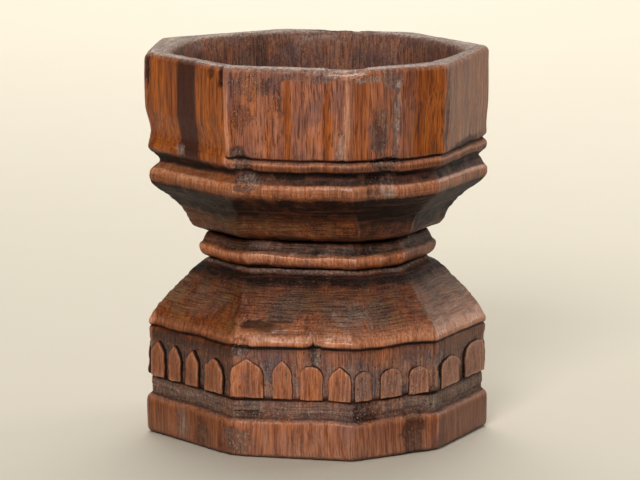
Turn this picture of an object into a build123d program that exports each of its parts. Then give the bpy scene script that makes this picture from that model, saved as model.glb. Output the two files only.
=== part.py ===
from build123d import *
import os
from math import cos, hypot, radians, sin

# Hand-carved octagonal wooden goblet, in millimetres and degrees.
# The origin is the centre of the base; +Z is up; -Y is the front.
# The bowl block carries a round tenon that runs down through the waist ring
# and the foot block and is spread by a wedge driven in from below.

# Eight corners of the outline: direction from the front, and relative reach.
# The block was squared off by eye, so no two faces are equally wide.
CORNERS = [
    (-80.0, 1.027),
    (-31.0, 0.973),
    (11.6, 1.011),
    (46.0, 0.974),
    (89.0, 1.011),
    (143.7, 0.992),
    (190.0, 0.998),
    (233.0, 1.014),
]

HEIGHT = 150.0
RIM_REACH = 66.9
RIM_ROUND = 2.0

# Bowl block: bead, collar and funnel.
WALL_FOOT_Z = 113.8
BEAD_Z = 109.8
BEAD_REACH = 65.3
HOLLOW_Z = 106.6
HOLLOW_REACH = 63.2
COLLAR_Z = 103.8
COLLAR_REACH = 66.2
LIP_Z = 100.6
LIP_REACH = 65.4
FUNNEL_MID_Z = 92.0
FUNNEL_MID_REACH = 54.6

# Waist: the two carved grooves are also the seams between the blocks.
UPPER_SEAM_Z = 80.5
LOWER_SEAM_Z = 69.5
SEAM_REACH = 42.5
RING_REACH = 46.8

# Cavity of the bowl, an octagon with the same corners as the outside.
CAVITY_REACH = 56.0
CAVITY_FLOOR_Z = 88.5

# Foot block.
FOOT_EDGE_Z = 42.9
FOOT_EDGE_REACH = 65.8
ARCADE_TOP_Z = 41.6
ARCADE_BOTTOM_Z = 22.7
GROUND_REACH = 64.4
PLINTH_TOP_Z = 15.1
PLINTH_REACH = 66.9

# Tongues of the arcade: pointed arches standing proud of the recessed ground.
TONGUE_PROUD = 1.4
TONGUE_ROOT = 1.0
TONGUE_WIDTH = 8.2
TONGUE_SHOULDER = 10.5
TONGUE_PEAK = 16.2
TONGUES_ON_FACE = [4, 4, 3, 3, 4, 4, 4, 4]

# Joint.
TENON_RADIUS = 15.0
MORTISE_RADIUS = 15.2
TENON_END_Z = 0.6
KERF_DEPTH = 24.0
KERF_MOUTH = 3.4
KERF_TIP = 0.8
WEDGE_WIDTH = 28.0


def corner(index, reach):
    """Point of one outline corner in plan."""
    angle, factor = CORNERS[index % len(CORNERS)]
    turn = radians(angle)
    return reach * factor * sin(turn), -reach * factor * cos(turn)


def section(z, reach):
    """Horizontal octagon at height z."""
    points = [corner(i, reach) for i in range(len(CORNERS))]
    return Plane.XY.offset(z) * make_face(Polyline(*points, close=True))


def block(levels):
    """Solid through a stack of (height, corner reach) octagons, with flat facets."""
    return loft([section(z, reach) for z, reach in levels], ruled=True)


def upright(radius, low, high):
    """Vertical cylinder between two heights."""
    return Pos(0, 0, low) * Cylinder(
        radius, high - low, align=(Align.CENTER, Align.CENTER, Align.MIN)
    )


def kerf(width):
    """Tapered slot or wedge body, widest at the end of the tenon."""
    half_mouth = KERF_MOUTH / 2
    half_tip = KERF_TIP / 2
    top = TENON_END_Z + KERF_DEPTH
    profile = Polyline(
        (-half_mouth, TENON_END_Z),
        (half_mouth, TENON_END_Z),
        (half_tip, top),
        (-half_tip, top),
        close=True,
    )
    return extrude(Plane.YZ * make_face(profile), amount=width / 2, both=True)


def cavity():
    """Room inside the bowl: nearly upright walls and a rounded floor."""
    return block(
        [
            (CAVITY_FLOOR_Z, 9.0),
            (90.0, 21.0),
            (94.0, 34.0),
            (100.0, 44.0),
            (108.0, 51.0),
            (120.0, 54.5),
            (HEIGHT - RIM_ROUND, CAVITY_REACH - 0.3),
            (HEIGHT + 0.5, CAVITY_REACH + 1.0),
        ]
    )


def make_cup():
    """Bowl block with its collar, funnel and stem tenon."""
    outside = block(
        [
            (UPPER_SEAM_Z, SEAM_REACH),
            (82.2, 46.0),
            (84.8, 49.0),
            (88.0, 51.2),
            (FUNNEL_MID_Z, FUNNEL_MID_REACH),
            (95.8, 59.4),
            (98.6, 63.4),
            (LIP_Z, LIP_REACH),
            (COLLAR_Z, COLLAR_REACH),
            (HOLLOW_Z, HOLLOW_REACH),
            (BEAD_Z - 1.0, HOLLOW_REACH),
            (BEAD_Z, BEAD_REACH),
            (WALL_FOOT_Z, 66.4),
            (118.5, 65.9),
            (128.0, 66.5),
            (HEIGHT - RIM_ROUND, RIM_REACH),
            (HEIGHT, RIM_REACH - RIM_ROUND),
        ]
    )
    tenon = upright(TENON_RADIUS, TENON_END_Z, UPPER_SEAM_Z + 1.0)
    slot = kerf(2.2 * TENON_RADIUS)
    return (outside - cavity()) + (tenon - slot)


def make_ring():
    """Waist ring that slips over the tenon."""
    body = block(
        [
            (LOWER_SEAM_Z, SEAM_REACH),
            (71.4, 44.8),
            (73.4, 46.4),
            (76.0, RING_REACH),
            (78.6, 45.4),
            (UPPER_SEAM_Z, SEAM_REACH),
        ]
    )
    return body - upright(MORTISE_RADIUS, LOWER_SEAM_Z - 1, UPPER_SEAM_Z + 1)


def tongue_face(width):
    """Pointed arch: straight flanks and two leaning arcs up to the peak."""
    half = width / 2
    rise = TONGUE_PEAK - TONGUE_SHOULDER
    bulge = (half * 0.62, TONGUE_SHOULDER + rise * 0.62)
    lines = [
        Line((-half, 0), (half, 0)),
        Line((half, 0), (half, TONGUE_SHOULDER)),
        ThreePointArc((half, TONGUE_SHOULDER), bulge, (0, TONGUE_PEAK)),
        ThreePointArc((0, TONGUE_PEAK), (-bulge[0], bulge[1]), (-half, TONGUE_SHOULDER)),
        Line((-half, TONGUE_SHOULDER), (-half, 0)),
    ]
    return make_face(lines)


def tongues(index):
    """Row of tongues on one face of the arcade band."""
    start = corner(index, GROUND_REACH)
    end = corner(index + 1, GROUND_REACH)
    run = (end[0] - start[0], end[1] - start[1])
    length = hypot(*run)
    along = (run[0] / length, run[1] / length, 0)
    outward = (along[1], -along[0], 0)
    count = TONGUES_ON_FACE[index]
    pitch = length / count
    width = min(TONGUE_WIDTH, 0.72 * pitch)
    row = []
    for place in range(count):
        reach = (place + 0.5) * pitch
        foot = (start[0] + along[0] * reach, start[1] + along[1] * reach, ARCADE_BOTTOM_Z)
        plane = Plane(origin=foot, x_dir=along, z_dir=outward).offset(-TONGUE_ROOT)
        row.append(extrude(plane * tongue_face(width), amount=TONGUE_ROOT + TONGUE_PROUD))
    return row


def make_foot():
    """Spreading foot with arcade, groove band and plinth."""
    body = block(
        [
            (0.0, PLINTH_REACH - 0.6),
            (1.0, PLINTH_REACH),
            (PLINTH_TOP_Z, PLINTH_REACH - 0.3),
            (16.4, 65.0),
            (21.4, 65.0),
            (ARCADE_BOTTOM_Z, GROUND_REACH),
            (ARCADE_TOP_Z, GROUND_REACH),
            (FOOT_EDGE_Z, FOOT_EDGE_REACH),
            (45.4, 65.5),
            (48.6, 64.0),
            (52.8, 60.8),
            (57.6, 56.6),
            (62.0, 52.0),
            (66.4, 48.0),
            (68.2, 45.6),
            (LOWER_SEAM_Z, SEAM_REACH),
        ]
    )
    for index in range(len(CORNERS)):
        for tongue in tongues(index):
            body = body + tongue
    return body - upright(MORTISE_RADIUS, -1, LOWER_SEAM_Z + 1)


def make_wedge():
    """Wedge that fills the kerf of the tenon."""
    return kerf(WEDGE_WIDTH)


def main():
    os.makedirs("parts", exist_ok=True)
    export_step(make_cup(), "parts/cup.step")
    export_step(make_ring(), "parts/knop_ring.step")
    export_step(make_foot(), "parts/foot.step")
    export_step(make_wedge(), "parts/tenon_wedge.step")


main()
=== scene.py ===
import logging
import math
from dataclasses import dataclass, fields
from enum import Enum, IntEnum
from typing import Callable, Sequence

import bpy
import numpy as np
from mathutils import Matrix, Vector


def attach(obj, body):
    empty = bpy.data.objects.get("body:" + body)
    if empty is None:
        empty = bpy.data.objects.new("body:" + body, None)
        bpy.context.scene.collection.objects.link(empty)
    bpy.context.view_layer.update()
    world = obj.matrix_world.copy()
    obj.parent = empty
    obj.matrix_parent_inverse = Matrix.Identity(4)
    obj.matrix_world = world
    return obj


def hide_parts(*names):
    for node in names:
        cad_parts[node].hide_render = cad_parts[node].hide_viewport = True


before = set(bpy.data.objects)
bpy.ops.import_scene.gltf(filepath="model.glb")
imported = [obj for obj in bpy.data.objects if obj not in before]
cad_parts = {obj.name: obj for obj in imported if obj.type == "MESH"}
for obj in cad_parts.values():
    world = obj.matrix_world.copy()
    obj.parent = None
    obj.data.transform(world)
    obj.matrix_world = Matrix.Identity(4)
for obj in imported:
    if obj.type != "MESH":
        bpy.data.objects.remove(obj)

logging.basicConfig(level=logging.INFO, format="%(message)s")
LOG = logging.getLogger("goblet")

MM = 0.001
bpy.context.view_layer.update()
BODY = "root"


# ------------------------------ names


class Face(IntEnum):
    """Faces of the octagon, anticlockwise from the left-hand front one, seen from above."""

    LEFT_FRONT = 0
    FRONT = 1
    RIGHT_FRONT = 2
    RIGHT = 3
    RIGHT_BACK = 4
    BACK_RIGHT = 5
    BACK_LEFT = 6
    LEFT_BACK = 7


class Slot(Enum):
    """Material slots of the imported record."""

    BOWL = "bowl_wood"
    WAIST = "waist_wood"
    FOOT = "foot_wood"
    WEDGE = "wedge_wood"


class Mask(Enum):
    """Per-vertex masks that the finishes read."""

    # Grime in hollows and grooves; on the funnel under the collar it is also painted shade.
    DIRT = "dirt"
    # Wear on crests and edges, with painted highlights along them.
    WEAR = "wear"
    # Grey dust film; on the right face it is also a painted sheen, and on the rim top it is partly
    # painted light.
    GREY = "grey"
    WARM = "warm"
    DARK = "dark"
    CHATTER = "chatter"
    GRAIN = "grain"
    PITTED = "pitted"


# ------------------------------ node trees


def operator(operation: str, flipped: bool = False) -> Callable[["Wire", "Wire | float"], "Wire"]:
    """Makes an arithmetic method for wires.

    Args:
        operation: the Math node's operation.
        flipped: whether the other term comes first.

    Returns:
        A method that adds one Math node.
    """

    def apply(self: "Wire", other: "Wire | float") -> "Wire":
        """Adds the node."""
        return self.tree.math(operation, *((other, self) if flipped else (self, other)))

    return apply


class Wire:
    """An output socket that can be used in Python arithmetic."""

    def __init__(self, tree: "Tree", socket: bpy.types.NodeSocket | None) -> None:
        """Wraps a socket of a tree."""
        self.tree = tree
        self.socket = socket

    __add__ = __radd__ = operator("ADD")
    __mul__ = __rmul__ = operator("MULTIPLY")
    __sub__ = operator("SUBTRACT")
    __rsub__ = operator("SUBTRACT", flipped=True)

    def clamped(self) -> "Wire":
        """The same value held between 0 and 1."""
        return self.tree.math("ADD", self, 0.0, use_clamp=True)

    def step(self, low: float, high: float) -> "Wire":
        """Smooth step from 0 at low to 1 at high.

        Args:
            low: value that gives 0.
            high: value that gives 1; it may be below low, for a falling step.

        Returns:
            The stepped value.
        """
        return self.tree.node(
            "ShaderNodeMapRange",
            {"Value": self, "From Min": low, "From Max": high},
            interpolation_type="SMOOTHSTEP",
        )


class Tree:
    """A node tree under construction."""

    def __init__(self, tree: bpy.types.NodeTree) -> None:
        """Starts on a tree that is empty or under way."""
        self.tree = tree

    def feed(self, socket: bpy.types.NodeSocket, value: object) -> None:
        """Links a wire to a socket, or sets a constant on it.

        Args:
            socket: input socket.
            value: wire, number, colour or other socket value.
        """
        if isinstance(value, Wire):
            self.tree.links.new(value.socket, socket)
        elif socket.type == "RGBA" and isinstance(value, tuple) and len(value) == 3:
            socket.default_value = (*value, 1.0)
        else:
            socket.default_value = value

    def node(
        self, kind: str, inputs: dict | None = None, output: int | str = 0, **settings: object
    ) -> Wire:
        """Makes one node.

        Args:
            kind: Blender's node type.
            inputs: values or wires by input name or index.
            output: which output the wire leaves from.
            **settings: properties of the node.

        Returns:
            The wire of the chosen output.
        """
        made = self.tree.nodes.new(kind)
        for name, value in settings.items():
            setattr(made, name, value)
        for key, value in (inputs or {}).items():
            self.feed(made.inputs[key], value)
        return Wire(self, made.outputs[output] if made.outputs else None)

    def math(self, operation: str, *terms: "Wire | float", use_clamp: bool = False) -> Wire:
        """Makes a Math node over the given terms."""
        return self.node(
            "ShaderNodeMath", dict(enumerate(terms)), operation=operation, use_clamp=use_clamp
        )

    def vector(self, operation: str, a: "Wire | tuple", b: "Wire | tuple | float") -> Wire:
        """Makes a Vector Math node; SCALE takes a number as its second term."""
        place = 3 if operation == "SCALE" else 1
        return self.node("ShaderNodeVectorMath", {0: a, place: b}, operation=operation)

    def colour(self, factor: "Wire | float", a: "Wire | tuple", b: "Wire | tuple") -> Wire:
        """Mixes two colours; the factor is the second one's share."""
        return self.node("ShaderNodeMix", {0: factor, 6: a, 7: b}, output=2, data_type="RGBA")

    def noise(
        self, where: Wire, cell: Sequence[float], detail: float = 2.0, rough: float = 0.55
    ) -> Wire:
        """Noise with cells of a given size.

        Args:
            where: position, in metres.
            cell: size of the cells along each axis, in millimetres.
            detail: octaves.
            rough: strength of the finer octaves.

        Returns:
            A value round 0.5.
        """
        scaled = self.vector("MULTIPLY", where, tuple(1.0 / (c * MM) for c in cell))
        return self.node(
            "ShaderNodeTexNoise",
            {"Vector": scaled, "Scale": 1.0, "Detail": detail, "Roughness": rough},
        )


def new_material(name: str) -> tuple[bpy.types.Material, Tree]:
    """Makes a material with no nodes.

    Args:
        name: material name.

    Returns:
        The material and its tree.
    """
    material = bpy.data.materials.new(name)
    material.use_nodes = True
    material.node_tree.nodes.clear()
    return material, Tree(material.node_tree)


def new_object(name: str, data: bpy.types.ID) -> bpy.types.Object:
    """Puts a mesh, lamp or camera in the scene.

    Args:
        name: object name.
        data: what the object shows.

    Returns:
        The object, at the origin.
    """
    made = bpy.data.objects.new(name, data)
    bpy.context.scene.collection.objects.link(made)
    return made


def write_layer(mesh: bpy.types.Mesh, label: str, values: Sequence[float]) -> None:
    """Writes one number per point to a mesh, under a name."""
    layer = mesh.attributes.new(label, "FLOAT", "POINT")
    layer.data.foreach_set("value", values)


# ------------------------------ finishes


@dataclass(frozen=True)
class AgedWood:
    """Old waxed hardwood: upright grain, pores, tool lines, grime with painted shade, wear with
    painted highlights, a dusty grey film with painted sheen, and painted glints.

    Colours are linear RGB. The masks on the mesh say where each kind of ageing and of painted light
    is.
    """

    name: str
    light: tuple = (0.54, 0.220, 0.128)
    deep: tuple = (0.165, 0.052, 0.034)
    orange: tuple = (0.47, 0.118, 0.009)
    ember: tuple = (0.125, 0.020, 0.002)
    brown: tuple = (0.045, 0.012, 0.006)
    grime: tuple = (0.0125, 0.0045, 0.0028)
    film: tuple = (0.195, 0.130, 0.128)
    bluish: tuple = (0.095, 0.060, 0.075)
    worn: tuple = (0.72, 0.37, 0.24)
    dust: tuple = (0.48, 0.38, 0.30)
    olive: tuple = (0.22, 0.135, 0.040)
    # Colour of the painted glints: specks of painted highlight.
    glint: tuple = (0.80, 0.66, 0.56)
    gloss: float = 0.14
    coat: float = 0.16
    coat_roughness: float = 0.28

    def mask(self, tree: Tree, mask: Mask) -> Wire:
        """Reads one of the mesh's masks."""
        return tree.node("ShaderNodeAttribute", output="Fac", attribute_name=mask.value)

    def build(self) -> bpy.types.Material:
        """Makes the material.

        Returns:
            A Blender material that reads object coordinates and the mesh's masks.
        """
        material, t = new_material(self.name)
        where = t.node("ShaderNodeTexCoord", output="Object")
        path = t.node("ShaderNodeAttribute", output="Vector", attribute_name="path")
        dirt, wear, grey, warm, dark, chatter, pitted = (
            self.mask(t, m)
            for m in (
                Mask.DIRT, Mask.WEAR, Mask.GREY, Mask.WARM, Mask.DARK, Mask.CHATTER, Mask.PITTED
            )
        )

        # The grain stands upright, so its cells are tall; tool lines run round, along the path.
        bend = t.node(
            "ShaderNodeTexNoise", {"Vector": where, "Scale": 28.0, "Detail": 1.0}, output="Color"
        )
        sway = t.vector("SCALE", t.vector("SUBTRACT", bend, (0.5,) * 3), 0.0035)
        bent = t.vector("ADD", where, sway)
        band = t.noise(bent, (10.0, 10.0, 160.0), 2.0).step(0.36, 0.64)
        streak = t.noise(bent, (2.6, 2.6, 48.0), 2.0, 0.6).step(0.36, 0.64)
        fine = t.noise(bent, (0.85, 0.85, 16.0), 2.0, 0.6)
        hair = t.noise(bent, (0.44, 0.44, 15.0), 3.0, 0.65)
        blotch = t.noise(where, (12.0, 12.0, 16.0), 4.0, 0.62)
        patch = t.noise(where, (4.5, 4.5, 6.5), 3.0, 0.65)
        speck = t.noise(where, (0.95, 0.95, 1.5), 3.0, 0.7)
        line = t.noise(path, (13.0, 0.70, 1.0), 2.0, 0.6)
        line_wide = t.noise(path, (30.0, 2.4, 1.0), 2.0)
        # Painted glints: bright specks on pits, worn and dusty spots, standing in for specular
        # sparkle.
        painted_sparkle = t.noise(where, (0.55, 0.55, 0.7), 1.0).step(0.63, 0.72)

        # Sound wood, cool or warm, and then what is on it and the painted light: amounts and
        # colours.
        tone = (band * 0.28 + streak * 0.36 + fine.step(0.34, 0.66) * 0.36).clamped()
        cool = t.colour(tone, self.deep, self.light)
        hot = t.colour((tone * 1.3 - 0.12).clamped(), self.ember, self.orange)
        amber = blotch.step(0.50, 0.36) * streak * 0.55 * (1.0 - warm).clamped()
        purple = (
            blotch.step(0.50, 0.62) * (1.0 - 0.8 * warm) * 0.60
            + pitted * 0.8 * blotch.step(0.42, 0.60)
        ).clamped()
        # Dark stain colour; on the funnel's left-front face it also paints shade.
        stain_and_shade = t.colour(fine.step(0.3, 0.7), self.brown, tuple(0.5 * c for c in self.ember))
        hairs = hair.step(0.50, 0.39) * 0.76
        moss = (blotch.step(0.46, 0.58) * chatter * line.step(0.4, 0.6) * 0.55).clamped()
        # Grey film: dust, and on the right face a painted sheen for the reflection of bright
        # surroundings.
        film = (grey * (0.60 + 1.6 * (patch - 0.40))).clamped()
        lay = fine + (line_wide - fine) * chatter.clamped()
        dust_and_sheen = t.colour((speck * 0.4 + lay * 0.6).step(0.42, 0.62), self.film, self.dust)
        # Wear, and painted highlights along crests, edges and corners.
        rubbed_and_highlit = (wear * (0.62 + 1.7 * (patch - 0.42))).clamped()
        polish_and_highlight = t.colour(fine.step(0.3, 0.7), self.orange, self.worn)
        cut = (line.step(0.52, 0.34) * chatter * 0.75).clamped()
        # Grime, and on the funnel under the collar a painted shade.
        grimed_and_shaded = (dirt * (1.05 + 1.2 * (patch - 0.5)) + (blotch - 0.5) * 0.5 * dirt).clamped()
        grime_and_shade_colour = t.colour(line_wide.step(0.50, 0.72) * 0.45, self.grime, self.deep)
        crumb = (speck.step(0.47, 0.30) * pitted * patch.step(0.60, 0.42) * 0.75).clamped()
        ash = (speck.step(0.56, 0.70) * pitted * patch.step(0.42, 0.58) * 0.55).clamped()
        painted_glint_strength = pitted * 0.30 + grey * 0.08 + wear * 0.20 + chatter * 0.08
        glint = (painted_sparkle * painted_glint_strength * (1.0 - 0.6 * grimed_and_shaded)).clamped()

        # Coats, from the wood up to the painted glints.
        base = t.colour(warm.clamped(), cool, hot)
        for share, coat in (
            (amber.clamped(), self.orange),
            (purple * (0.45 + 0.55 * streak), self.bluish),
            (dark.clamped(), stain_and_shade),
            (hairs.clamped(), self.brown),
            (moss, self.olive),
            (film, dust_and_sheen),
            (rubbed_and_highlit * 0.8, polish_and_highlight),
            (cut, self.brown),
            (grimed_and_shaded, grime_and_shade_colour),
            (crumb, self.grime),
            (ash, self.film),
            (glint, self.glint),
        ):
            base = t.colour(share, base, coat)

        roughness = (
            0.40 + 0.30 * (patch - 0.45) + 0.20 * grey + 0.10 * pitted + 0.15 * grimed_and_shaded
            + 0.20 * (fine - 0.5) - 0.08 * wear
        ).clamped()
        height = (
            0.32 * (hair - 0.5) + 0.20 * (fine - 0.5) + 0.30 * (patch - 0.5)
            + chatter * 0.8 * (line - 0.5) + (0.10 + 0.55 * pitted) * (speck - 0.5)
        )
        wax = (1.0 + 2.6 * rubbed_and_highlit) * (1.0 - 0.8 * grimed_and_shaded) * (1.0 - 0.8 * dark.clamped())
        bump = t.node("ShaderNodeBump", {"Height": height, "Strength": 1.0, "Distance": 0.0011})
        shader = t.node(
            "ShaderNodeBsdfPrincipled",
            {
                "Base Color": base,
                "Roughness": roughness,
                "Normal": bump,
                "Specular IOR Level": self.gloss,
                "Coat Weight": (self.coat * wax).clamped(),
                "Coat Roughness": self.coat_roughness,
            },
        )
        t.node("ShaderNodeOutputMaterial", {"Surface": shader})
        return material


@dataclass(frozen=True)
class Plaster:
    """Plain matt ground for the studio."""

    name: str
    colour: tuple
    roughness: float = 0.85

    def build(self) -> bpy.types.Material:
        """Makes the material.

        Returns:
            A Blender material with a faint mottle.
        """
        material, t = new_material(self.name)
        where = t.node("ShaderNodeTexCoord", output="Object")
        mottle = t.noise(where, (60.0, 60.0, 60.0), 3.0)
        tone = t.colour(mottle, tuple(0.97 * c for c in self.colour), self.colour)
        shader = t.node(
            "ShaderNodeBsdfPrincipled", {"Base Color": tone, "Roughness": self.roughness}
        )
        t.node("ShaderNodeOutputMaterial", {"Surface": shader})
        return material


# ------------------------------ shapes


class Grain:
    """Smooth repeatable noise over points, for shaping meshes."""

    PRIMES = (73856093, 19349663, 83492791)
    SEED_STEP = 2654435
    STIR = 1274126177
    LARGEST = 0xFFFFFF

    def __init__(self, seed: int) -> None:
        """Takes the seed that sets one noise apart from another."""
        self.seed = seed

    def at(self, points: np.ndarray, cell: Sequence[float]) -> np.ndarray:
        """Noise at points.

        Args:
            points: array of shape (n, 3).
            cell: size of the noise cells along each axis, in the unit of the points.

        Returns:
            Values from -1 to 1, of shape (n,).
        """
        place = points / np.array(cell, float)
        base = np.floor(place).astype(np.int64)
        part = place - base
        part = part * part * (3.0 - 2.0 * part)
        total = np.zeros(len(points))
        for corner in np.ndindex(2, 2, 2):
            weight = np.prod(np.where(np.array(corner) == 1, part, 1.0 - part), axis=1)
            total += weight * self._hash(base + np.array(corner))
        return total * 2.0 - 1.0

    def _hash(self, cells: np.ndarray) -> np.ndarray:
        """Value for each integer cell.

        Args:
            cells: array of shape (n, 3).

        Returns:
            Values from 0 to 1, of shape (n,).
        """
        x, y, z = (cells[:, axis] * prime for axis, prime in enumerate(self.PRIMES))
        mixed = (x ^ y ^ z) + self.seed * self.SEED_STEP
        mixed = (mixed ^ (mixed >> 13)) * self.STIR
        mixed = mixed ^ (mixed >> 16)
        return (mixed & self.LARGEST) / float(self.LARGEST)


@dataclass(frozen=True)
class Outline:
    """Irregular octagon in plan, given by its corners' directions and relative reach."""

    angles: tuple
    reaches: tuple
    per_face: int = 58
    blur: int = 13
    crowding: float = 0.45

    def corners(self) -> np.ndarray:
        """Corner points for a reach of 1.

        Returns:
            An array of shape (faces, 2).
        """
        turn = np.radians(np.array(self.angles))
        reach = np.array(self.reaches)
        return np.stack([reach * np.sin(turn), -reach * np.cos(turn)], axis=1)

    def places(self) -> np.ndarray:
        """Place of each column; the columns crowd towards the corners.

        Returns:
            Face number plus share of the face, for every column.
        """
        even = np.arange(self.per_face) / self.per_face
        eased = 0.5 - 0.5 * np.cos(math.pi * even)
        share = (1.0 - self.crowding) * even + self.crowding * eased
        return np.concatenate([face + share for face in range(len(self.angles))])

    def sharp(self) -> np.ndarray:
        """Columns on the straight-sided octagon.

        Returns:
            Points for a reach of 1, of shape (columns, 2).
        """
        places = self.places()
        face = places.astype(int)
        share = (places - face)[:, None]
        ends = self.corners()
        return ends[face] * (1 - share) + ends[(face + 1) % len(ends)] * share

    def soft(self) -> np.ndarray:
        """The same points with rounded corners.

        Returns:
            Points for a reach of 1, of shape (columns, 2).
        """
        points = self.sharp()
        for _ in range(self.blur):
            points = 0.25 * np.roll(points, 1, 0) + 0.5 * points + 0.25 * np.roll(points, -1, 0)
        return points

    def round(self) -> np.ndarray:
        """The same columns on a circle."""
        points = self.sharp()
        return points / np.linalg.norm(points, axis=1, keepdims=True)

    def run(self, reach: float) -> np.ndarray:
        """Distance along the outline.

        Args:
            reach: reach of the outline.

        Returns:
            The distance of every column, and then the whole way round.
        """
        points = self.sharp() * reach
        steps = np.linalg.norm(np.roll(points, -1, 0) - points, axis=1)
        return np.concatenate([[0.0], np.cumsum(steps)])

    def width(self, face: int, reach: float) -> float:
        """Width of a face at a reach."""
        ends = self.corners() * reach
        return float(np.linalg.norm(ends[(face + 1) % len(ends)] - ends[face]))


@dataclass(frozen=True)
class Station:
    """One level of a profile, in millimetres, with the masks that it carries.

    z and reach are for the moulded faces at the sides; front_lift is added to z at the front,
    and plain_z and plain_reach are added where a face was left without its mouldings. soft rounds
    the corners; wall, waist and round are shares of the outlines of those names. step is the
    distance between rows below the level, wave the strength of the hand-cut unevenness, and
    moulded how much of the level's masks a plain face goes without.
    """

    z: float
    reach: float
    front_lift: float = 0.0
    plain_z: float = 0.0
    plain_reach: float = 0.0
    soft: float = 0.5
    wall: float = 0.0
    waist: float = 0.0
    round: float = 0.0
    dirt: float = 0.0
    wear: float = 0.0
    grey: float = 0.0
    chatter: float = 0.0
    grain: float = 1.0
    pitted: float = 0.0
    step: float = 0.8
    wave: float = 1.0
    moulded: float = 0.0


@dataclass(frozen=True)
class Scar:
    """A chip, dent, crack, stain or painted highlight, in millimetres but for its share across the
    face.

    ragged is the unevenness of its edge, square the power that squares its outline, and drop how
    far it sinks. The rest are amounts that it adds to the masks.
    """

    face: Face
    share: float
    z: float
    half_width: float
    half_height: float
    depth: float = 0.0
    ragged: float = 0.5
    square: float = 2.0
    dirt: float = 0.0
    wear: float = 0.0
    grey: float = 0.0
    dark: float = 0.0
    warm: float = 0.0
    pitted: float = 0.0
    drop: float = 0.0


@dataclass(frozen=True)
class Tint:
    """Mask value spread over one face between two heights."""

    mask: Mask
    face: Face
    value: float
    low: float
    high: float
    start: float = 0.0
    stop: float = 1.0


MAIN = Outline(
    angles=(-80.0, -31.0, 11.6, 46.0, 89.0, 143.7, 190.0, 233.0),
    reaches=(1.027, 0.973, 1.011, 0.974, 1.011, 0.992, 0.998, 1.014),
)
WALL = Outline(
    angles=(-83.5, -33.4, 9.4, 48.4, 99.0, 143.7, 192.0, 241.0),
    reaches=(1.0175, 0.981, 1.009, 0.991, 1.025, 0.992, 0.998, 1.082),
)
WAIST = Outline(
    angles=(-80.0, -38.0, 19.0, 47.0, 89.0, 140.0, 188.0, 233.0),
    reaches=(1.02, 0.975, 0.99, 0.985, 1.011, 0.992, 0.998, 1.014),
)


def warmth(amounts: dict[Face, float], low: float, high: float) -> list[Tint]:
    """Warms whole faces between two heights, each by its own amount."""
    return [Tint(Mask.WARM, face, value, low, high) for face, value in amounts.items()]


def hump_of(x: np.ndarray) -> np.ndarray:
    """Smooth hump: 1 at 0 and 0 from 1 on."""
    inside = np.clip(1.0 - x, 0.0, 1.0)
    return inside * inside * (3.0 - 2.0 * inside)


def window(x: np.ndarray, low: float, high: float, fade: float) -> np.ndarray:
    """Tells 1 between two limits, and fades to 0 at them over a width."""
    return np.clip((x - low) / fade, 0.0, 1.0) * np.clip((high - x) / fade, 0.0, 1.0)


def short_way(share: np.ndarray) -> np.ndarray:
    """Distance in faces, with its sign, taken the short way round the octagon."""
    return (share + len(Face) / 2) % len(Face) - len(Face) / 2


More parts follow.
